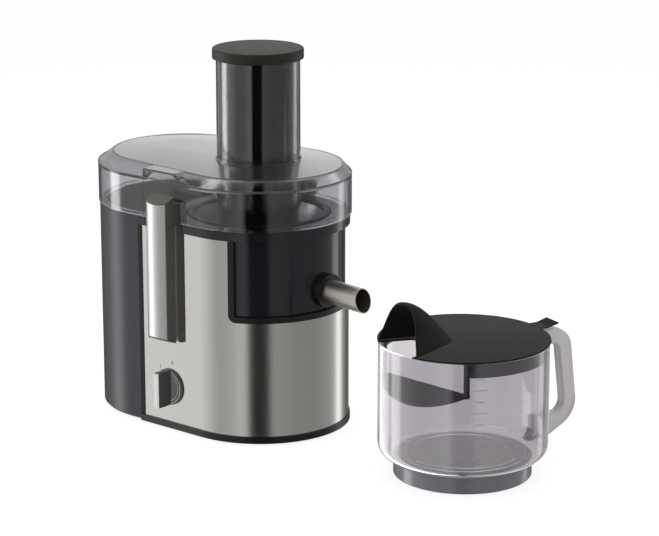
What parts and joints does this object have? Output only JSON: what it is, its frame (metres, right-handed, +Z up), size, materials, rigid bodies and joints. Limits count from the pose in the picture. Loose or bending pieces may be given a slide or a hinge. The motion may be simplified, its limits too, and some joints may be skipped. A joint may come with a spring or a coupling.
{
  "type": "centrifugal juicer",
  "caption": "Centrifugal juicer: slot-shaped steel motor base, lidded filter basket with a wide feed tube, side clamps, pulp container and a free-standing juice jug.",
  "frame": {"origin": "centre of the bounding box of juicer and jug, on the surface they stand on", "axes": "+X from the pulp container towards the spout and the jug, +Y to the side away from the switch, +Z up"},
  "size_m": [0.5554, 0.2533, 0.401],
  "materials": {
    "black_plastic": "fine satin moulded black",
    "dark_plastic": "matt moulded dark grey",
    "rubber": "matt black rubber",
    "steel": "plain machined steel",
    "brushed_panel": "vertically brushed, satin sheen",
    "cast_aluminium": "as-cast",
    "lamination": "varnished laminations",
    "copper_wire": "enamelled wire",
    "brass": "plain brass",
    "carbon": "pressed carbon",
    "pale_plastic": "natural nylon",
    "bowl_plastic": "glossy dark grey",
    "spout_steel": "polished steel tube",
    "smoky_clear": "smoky transparent, glossy",
    "smoky_dark": "dark smoky transparent, glossy",
    "cap_plastic": "matt dark olive grey",
    "lever_plastic": "satin dark warm grey",
    "silver_face": "satin silver",
    "red_plastic": "glossy red",
    "pulp_plastic": "satin dark grey, slightly see-through",
    "clear_plastic": "clear, glossy",
    "frosted_grey": "tinted clear plastic",
    "olive_black": "glossy olive black"
  },
  "bodies": {
    "base": {"bottom_cover": "black_plastic", "rubber_feet": "rubber", "cover_screws": "steel", "housing": "dark_plastic", "steel_panel": "brushed_panel", "window_frame": "black_plastic", "shaft_seal": "rubber", "upper_bracket": "cast_aluminium", "lower_bracket": "cast_aluminium", "stator_core": "lamination", "field_coils": "copper_wire", "bearings": "steel", "motor_screws": "steel", "rubber_mounts": "rubber", "mount_screws": "steel", "brush_holders": "brass", "carbon_brushes": "carbon", "cord_inlet": "rubber", "rotary_switch": "dark_plastic", "switch_nut": "brass", "near_clamp_bracket": "black_plastic", "far_clamp_bracket": "black_plastic", "near_hinge_pin": "steel", "far_hinge_pin": "steel", "reset_switch": "dark_plastic"},
    "rotor": {"motor_shaft": "steel", "armature": "copper_wire", "cooling_fan": "pale_plastic", "drive_coupling": "black_plastic"},
    "bowl": {"collector_bowl": "bowl_plastic", "juice_spout": "spout_steel", "spout_socket": "black_plastic"},
    "basket": {"basket_hub": "black_plastic", "grater_disc": "steel", "filter_mesh": "steel", "basket_rim": "black_plastic"},
    "lid_body": {"lid": "smoky_clear"},
    "pusher": {"pusher_body": "smoky_dark", "pusher_cap": "cap_plastic"},
    "near_clamp": {"near_clamp_lever": "lever_plastic", "near_clamp_face": "silver_face"},
    "far_clamp": {"far_clamp_lever": "lever_plastic", "far_clamp_face": "silver_face"},
    "knob": {"switch_knob": "lever_plastic", "knob_pointer": "silver_face"},
    "reset": {"reset_button": "red_plastic"},
    "pulp": {"pulp_container": "pulp_plastic"},
    "jug": {"jug_body": "clear_plastic", "jug_foot": "frosted_grey", "jug_handle": "clear_plastic"},
    "jug_top": {"jug_lid": "olive_black", "jug_hood": "olive_black", "foam_separator": "olive_black"}
  },
  "joints": [
    {"name": "motor_spin", "type": "hinge", "parent": "base", "child": "rotor", "pos_m": [-0.08, -0.003, 0.06], "axis": [0, 0, 1], "continuous": true},
    {"name": "bowl_lift", "type": "slide", "parent": "base", "child": "bowl", "axis": [0, 0, 1], "range_m": [0, 0.25]},
    {"name": "basket_spin", "type": "hinge", "parent": "bowl", "child": "basket", "pos_m": [-0.08, -0.003, 0.165], "axis": [0, 0, 1], "continuous": true},
    {"name": "lid_lift", "type": "slide", "parent": "bowl", "child": "lid_body", "axis": [0, 0, 1], "range_m": [0, 0.2]},
    {"name": "pusher_lift", "type": "slide", "parent": "lid_body", "child": "pusher", "axis": [0, 0, 1], "range_m": [0, 0.225]},
    {"name": "near_clamp_swing", "type": "hinge", "parent": "base", "child": "near_clamp", "pos_m": [-0.114, -0.1, 0.108], "axis": [1, 0, 0], "range_deg": [0, 50]},
    {"name": "far_clamp_swing", "type": "hinge", "parent": "base", "child": "far_clamp", "pos_m": [-0.114, 0.094, 0.108], "axis": [-1, 0, 0], "range_deg": [0, 50]},
    {"name": "knob_turn", "type": "hinge", "parent": "base", "child": "knob", "pos_m": [-0.121, -0.0977, 0.0485], "axis": [0, 1, 0], "range_deg": [-45, 45]},
    {"name": "reset_press", "type": "slide", "parent": "base", "child": "reset", "axis": [0, 0, 1], "range_m": [0, 0.002], "stiffness_N_per_m": 300},
    {"name": "pulp_out", "type": "slide", "parent": "base", "child": "pulp", "axis": [-1, 0, 0], "range_m": [0, 0.2]},
    {"name": "jug_lift", "type": "slide", "parent": "base", "child": "jug", "axis": [0, 0, 1], "range_m": [0, 0.25]},
    {"name": "jug_lid_lift", "type": "slide", "parent": "jug", "child": "jug_top", "axis": [0, 0, 1], "range_m": [0, 0.12]}
  ],
  "couplings": [
    {"joint": "basket_spin", "follows": "motor_spin", "ratio": 1}
  ]
}
